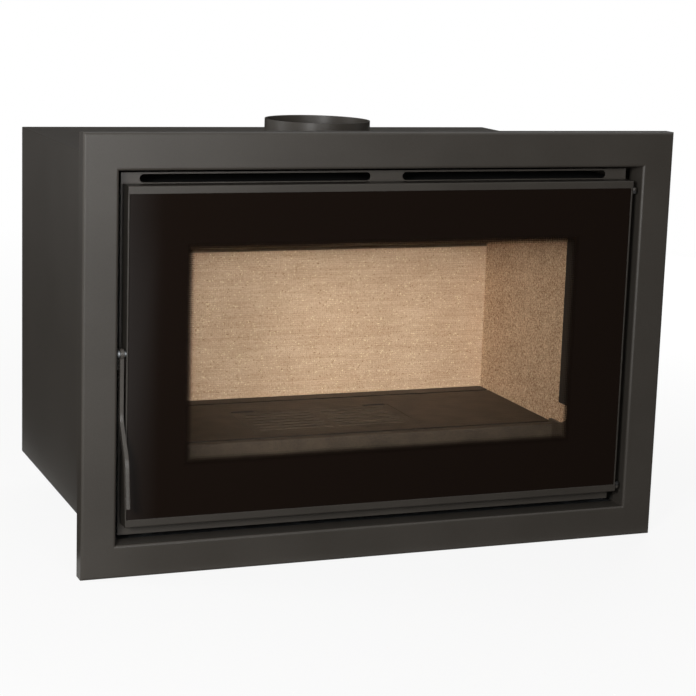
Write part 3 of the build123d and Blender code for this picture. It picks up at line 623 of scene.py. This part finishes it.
for curve, reach, axis in (("COSINE", "Across", sideways), ("SINE", "Deep", DEPTH)):
    turn = add(yarn, "ShaderNodeMath", {0: angle}, operation=curve)
    radius = add(yarn, "ShaderNodeMath", {0: given[reach], 1: swell}, operation="ADD")
    amount = add(yarn, "ShaderNodeMath", {0: turn, 1: radius}, operation="MULTIPLY")
    steps.append(add(yarn, "ShaderNodeVectorMath", {0: axis, 3: amount}, operation="SCALE"))
offset = add(yarn, "ShaderNodeVectorMath", {0: steps[0], 1: steps[1]}, operation="ADD")
helix = add(yarn, "GeometryNodeSetPosition", {"Geometry": numbered, "Offset": offset})
print("nodes in the braid so far:", len(yarn.nodes))

# %% [markdown]
# A small circle swept along each helix makes the yarn, and a larger one swept along the centre line
# makes the core. The same tree, made flat, gives the woven tape behind the glass. Both rings stand
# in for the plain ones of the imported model, and fill the same space.

# %% Braid the rope and the tape
YARN_SIDES = 5
CORE_SIDES = 10
tubes = add(yarn, "GeometryNodeJoinGeometry")
for line, radius, sides in ((centre_line, "Core", CORE_SIDES), (helix, "Yarn", YARN_SIDES)):
    section = add(yarn, "GeometryNodeCurvePrimitiveCircle",
                  {"Resolution": sides, "Radius": given[radius]}, mode="RADIUS")
    tube = add(yarn, "GeometryNodeCurveToMesh", {"Curve": line, "Profile Curve": section})
    yarn.links.new(tube.outputs[0], tubes.inputs[0])
smooth = add(yarn, "GeometryNodeSetShadeSmooth", {0: tubes})
real = add(yarn, "GeometryNodeRealizeInstances", {0: smooth})
dyed = add(yarn, "GeometryNodeSetMaterial", {0: real, "Material": given["Finish"]})
yarn.links.new(dyed.outputs[0], end.inputs[0])


def braid(name, node, width, turns, strands, points, radius, lift, core):
    """Braids a ring of yarn in the space of a packed ring. The sizes are in millimetres."""
    low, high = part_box(node)
    width, radius, lift, core = [size * MM for size in (width, radius, lift, core)]
    mesh = run_tree(yarn, {
        "Width": high.x - low.x - width, "Height": high.z - low.z - width, "Corner": width / 2,
        "Centre": (low + high) / 2, "Turns": turns, "Strands": strands, "Points": points,
        "Across": width / 2 - radius - lift, "Deep": (high.y - low.y) / 2 - radius - lift,
        "Lift": lift, "Yarn": radius, "Core": core, "Finish": knit})
    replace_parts(add_piece(name, [mesh], "door", "glass_rope"), node)


braid("door_rope", "rope_seal", width=15, turns=52, strands=6, points=1248, radius=1.5,
      lift=0.25, core=5.2)
braid("glass_edge_tape", "glass_tape", width=12, turns=80, strands=5, points=1280, radius=0.55,
      lift=0.1, core=0.6)

# %% [markdown]
# The studio is plain, with a white world round everything. It looks white to the camera, in
# mirrors and through the glass, but it gives the object only a soft grey light, so that the dark
# paint keeps its depth. The Light Path node tells the two kinds of look apart.

# %% White world
SKY_LIGHT = 0.08
world = bpy.data.worlds.new("white_studio")
bpy.context.scene.world = world
world.use_nodes = True
tree = world.node_tree
tree.nodes.clear()
ray = add(tree, "ShaderNodeLightPath").outputs
seen = ray["Is Camera Ray"]
for kind in ("Is Glossy Ray", "Is Transmission Ray"):
    seen = add(tree, "ShaderNodeMath", {0: seen, 1: ray[kind]}, operation="MAXIMUM")
ambient = add(tree, "ShaderNodeBackground", {"Color": colour("#FFFFFF"), "Strength": SKY_LIGHT})
backdrop = add(tree, "ShaderNodeBackground", {"Color": colour("#FFFFFF"), "Strength": 1.0})
sky = add(tree, "ShaderNodeMixShader", {0: seen, 1: ambient, 2: backdrop})
add(tree, "ShaderNodeOutputWorld", {"Surface": sky})
print("world made:", world.name)

# %% [markdown]
# A white card lies under the frame. For the camera most of it glows white, and the little that
# doesn't takes a faint shadow near the object and is gone three metres away, so no horizon shows.
# In mirrors it starts as a plain card and turns white with distance. It is dark only for the soft
# light that it would throw back, so the object isn't lit from below.

# %% Floor
FLOOR_SIZE = 14.0
FADE_FROM = 0.8
FADE_TO = 3.0
GLOW_NEAR = 0.89
FLOOR_BOUNCE = "#32312F"
reach = FLOOR_SIZE / 2
floor_z = cad_box[0].z
floor_mesh = bpy.data.meshes.new("floor")
floor_mesh.from_pydata([(x, y, floor_z) for x, y in
                        ((-reach, -reach), (reach, -reach), (reach, reach), (-reach, reach))],
                       [], [(0, 1, 2, 3)])
floor = bpy.data.objects.new("floor", floor_mesh)
bpy.context.collection.objects.link(floor)
floor_card, tree, place = start_material("white_floor_card")
away = add(tree, "ShaderNodeVectorMath", {0: place}, operation="LENGTH").outputs["Value"]
far = add(tree, "ShaderNodeMapRange", {"Value": away, "From Min": FADE_FROM, "From Max": FADE_TO})
ray = add(tree, "ShaderNodeLightPath").outputs
in_mirror = add(tree, "ShaderNodeMath", {
    0: ray["Is Glossy Ray"], 1: ray["Is Transmission Ray"]}, operation="MAXIMUM")
mirror_glow = add(tree, "ShaderNodeMath", {0: far, 1: in_mirror}, operation="MULTIPLY")
glow = add(tree, "ShaderNodeMapRange", {"Value": far, "To Min": GLOW_NEAR, "To Max": 1.0})
glow = add(tree, "ShaderNodeMath", {0: glow, 1: ray["Is Camera Ray"], 2: mirror_glow},
           operation="MULTIPLY_ADD")
bounce = add(tree, "ShaderNodeMix", {
    0: ray["Is Diffuse Ray"], 6: colour("#F4F3F1"), 7: colour(FLOOR_BOUNCE)}, data_type="RGBA")
card = add(tree, "ShaderNodeBsdfDiffuse", {"Color": bounce.outputs[2]})
bright = add(tree, "ShaderNodeEmission", {"Color": colour("#FFFFFF"), "Strength": 1.0})
shader = add(tree, "ShaderNodeMixShader", {0: glow, 1: card, 2: bright})
add(tree, "ShaderNodeOutputMaterial", {"Surface": shader})
floor_mesh.materials.append(floor_card)
print("floor at", round(floor_z / MM), "mm")

# %% [markdown]
# Soft lamps do the lighting, as in a photographer's studio. The key stands close, to the left of
# the door, so the paint fades from left to right. A large softbox in front is mirrored by the left
# edge of the frame. The side lamp draws the casing, and the mouth lamp stands behind the camera and
# lights only what is inside the firebox. The rest fill from the right, from above and from behind,
# and the one behind is kept out of mirrors. Each lamp is aimed with `to_track_quat`.

# %% Lamps
inside = bpy.data.collections.new("inside_of_the_firebox")
for finish in (inner_paint, back_board, side_board, baffle_board_with_painted_shade, cast_iron):
    for name in FINISHES[finish]:
        if name != "firebox_top":
            inside.objects.link(nodes[name])
inside.objects.link(bpy.data.objects["hearth_bar_screws"])


def soft_lamp(name, stand, aim, size, power, spread=180, lights=None, mirrored=True):
    """A square lamp at a stand, aimed at a point. It lights all, or only one collection."""
    lamp = bpy.data.lights.new(name, "AREA")
    lamp.shape = "SQUARE"
    lamp.size = size
    lamp.energy = power
    lamp.spread = math.radians(spread)
    holder = bpy.data.objects.new(name, lamp)
    bpy.context.collection.objects.link(holder)
    holder.location = stand
    holder.rotation_mode = "QUATERNION"
    holder.rotation_quaternion = (Vector(aim) - Vector(stand)).to_track_quat("-Z", "Y")
    holder.light_linking.receiver_collection = lights
    holder.visible_camera = False
    holder.visible_glossy = mirrored


soft_lamp("key_lamp", (-1.38, -2.0, 0.85), (0.0, -0.25, 0.25), size=0.45, power=30)
soft_lamp("edge_softbox", (-0.2, -3.2, 0.75), (-0.35, -0.25, 0.4), size=1.0, power=29)
soft_lamp("side_lamp", (-2.4, 0.5, 1.0), (-0.37, 0.0, 0.3), size=1.0, power=20)
soft_lamp("mouth_lamp", (-1.0, -2.75, 0.79), (-0.02, -0.1, 0.22), size=0.16, power=1.68,
          spread=26, lights=inside)
soft_lamp("fill_lamp", (2.8, -0.7, 0.9), (0.0, -0.2, 0.2), size=1.4, power=1.5)
soft_lamp("top_lamp", (-0.4, 0.3, 2.4), (0.0, 0.0, 0.2), size=1.6, power=3)
soft_lamp("rear_lamp", (1.9, 2.0, 0.6), (0.1, 0.1, 0.25), size=1.2, power=70, mirrored=False)

# %% [markdown]
# Dark paint and black glass look dark in a photograph only where they mirror something dark, so
# a studio has black cards. Only mirrors see these: the camera and the lamps' light pass them by.
# Each card is strung between rails, and every rail says how much the card covers there, so a card
# can fade in. The number is kept on the mesh's points, where the material reads it.

# %% Black cards
velvet, tree, place = start_material("black_velvet_card")
shown = add(tree, "ShaderNodeAttribute", attribute_name="cover").outputs["Fac"]
through = add(tree, "ShaderNodeBsdfTransparent")
pile = add(tree, "ShaderNodeBsdfDiffuse", {"Color": colour("#080707")})
shader = add(tree, "ShaderNodeMixShader", {0: shown, 1: through, 2: pile})
add(tree, "ShaderNodeOutputMaterial", {"Surface": shader})


def black_card(name, rails, covers=(1, 1)):
    """A card strung between upright or level rails. Each rail has its own cover, from 0 to 1."""
    mesh = bpy.data.meshes.new(name)
    ends = [rail_end for rail in rails for rail_end in rail]
    mesh.from_pydata(ends, [], [(i, i + 1, i + 3, i + 2) for i in range(0, len(ends) - 2, 2)])
    shares = mesh.attributes.new("cover", "FLOAT", "POINT")
    shares.data.foreach_set("value", [share for share in covers for _ in range(2)])
    card = bpy.data.objects.new(name, mesh)
    bpy.context.collection.objects.link(card)
    mesh.materials.append(velvet)
    for kind in ("camera", "diffuse", "transmission", "volume_scatter", "shadow"):
        setattr(card, "visible_" + kind, False)


print("card finish made:", velvet.name)

# %% [markdown]
# One card stands in front and one lies on the floor before the door. Both fade in from a line that
# runs away from the door, which leaves a soft band of light on the left edge of the glass. Where
# that line has to stand follows from the law of mirrors, for an eye at the camera's place. Four
# more cards stand or lie beside and behind the casing.

# %% Where the cards stand
FADE_STARTS = -0.385
FADE_ENDS = -0.31
EYE = Vector((-0.97, -2.606))
CARDS_FRONT, CARDS_BACK = -3.6, 3.6
CARDS_LEFT, CARDS_RIGHT = -1.7, 3.9
CARDS_TOP = 2.6
FRONT_CARD_END = 4.0
LEFT_CARD_START = -0.2
LEFT_CARD_COVER = 0.6
DOOR_GAP = 0.02
door_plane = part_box("door_frame")[0].y
card_foot = floor_z + MM
near = door_plane - DOOR_GAP


def mirrored_at(x, y):
    """Where a place x on the door mirrors a card at the distance y, for an eye at EYE."""
    return x + (x - EYE.x) * (door_plane - y) / (door_plane - EYE.y)


def upright(x, y):
    """An upright rail from the floor to the cards' top."""
    return (x, y, card_foot), (x, y, CARDS_TOP)


def lying(near_x, far_x, front, back):
    """A rail that lies on the floor, from one distance to another."""
    return (near_x, front, card_foot), (far_x, back, card_foot)


black_card("card_front", [upright(x, CARDS_FRONT) for x in (
    mirrored_at(FADE_STARTS, CARDS_FRONT), mirrored_at(FADE_ENDS, CARDS_FRONT),
    FRONT_CARD_END)], (0, 1, 1))
black_card("card_floor", [
    lying(mirrored_at(x, near), mirrored_at(x, CARDS_FRONT), near, CARDS_FRONT)
    for x in (FADE_STARTS, FADE_ENDS)
] + [lying(FRONT_CARD_END, FRONT_CARD_END, near, CARDS_FRONT)], (0, 1, 1))
black_card("card_right", [upright(CARDS_RIGHT, y) for y in (CARDS_FRONT, CARDS_BACK)])
black_card("card_left", [upright(CARDS_LEFT, y) for y in (LEFT_CARD_START, CARDS_BACK)],
           (LEFT_CARD_COVER, LEFT_CARD_COVER))
black_card("card_back", [upright(x, CARDS_BACK) for x in (CARDS_LEFT, CARDS_RIGHT)])
black_card("card_floor_left", [
    lying(x, x, LEFT_CARD_START, CARDS_BACK) for x in (CARDS_LEFT, cad_box[0].x)])

# %% [markdown]
# The camera stands where the photographer stood: to the left, a little above the collar, on a
# long lens. Its turn is built from the way it looks, then rolled by two degrees.

# %% Camera
CAMERA_PLACE = Vector((-0.9698, -2.6064, 0.7387))
CAMERA_AZIMUTH = math.radians(-21.53)
CAMERA_ELEVATION = math.radians(11.12)
CAMERA_ROLL = math.radians(1.896)
CAMERA_LENS = 100.70
SENSOR = 36.0
CLIP_START = 0.05
look = Vector((-math.sin(CAMERA_AZIMUTH) * math.cos(CAMERA_ELEVATION),
               math.cos(CAMERA_AZIMUTH) * math.cos(CAMERA_ELEVATION), -math.sin(CAMERA_ELEVATION)))
camera = bpy.data.objects.new("camera", bpy.data.cameras.new("camera"))
bpy.context.collection.objects.link(camera)
camera.data.lens = CAMERA_LENS
camera.data.sensor_width = SENSOR
camera.data.clip_start = CLIP_START
aimed = look.to_track_quat("-Z", "Y").to_matrix() @ Matrix.Rotation(CAMERA_ROLL, 3, "Z")
camera.matrix_world = Matrix.Translation(CAMERA_PLACE) @ aimed.to_4x4()
bpy.context.scene.camera = camera
bpy.context.scene.view_settings.view_transform = "Standard"
print("camera at", [round(v, 3) for v in camera.location])
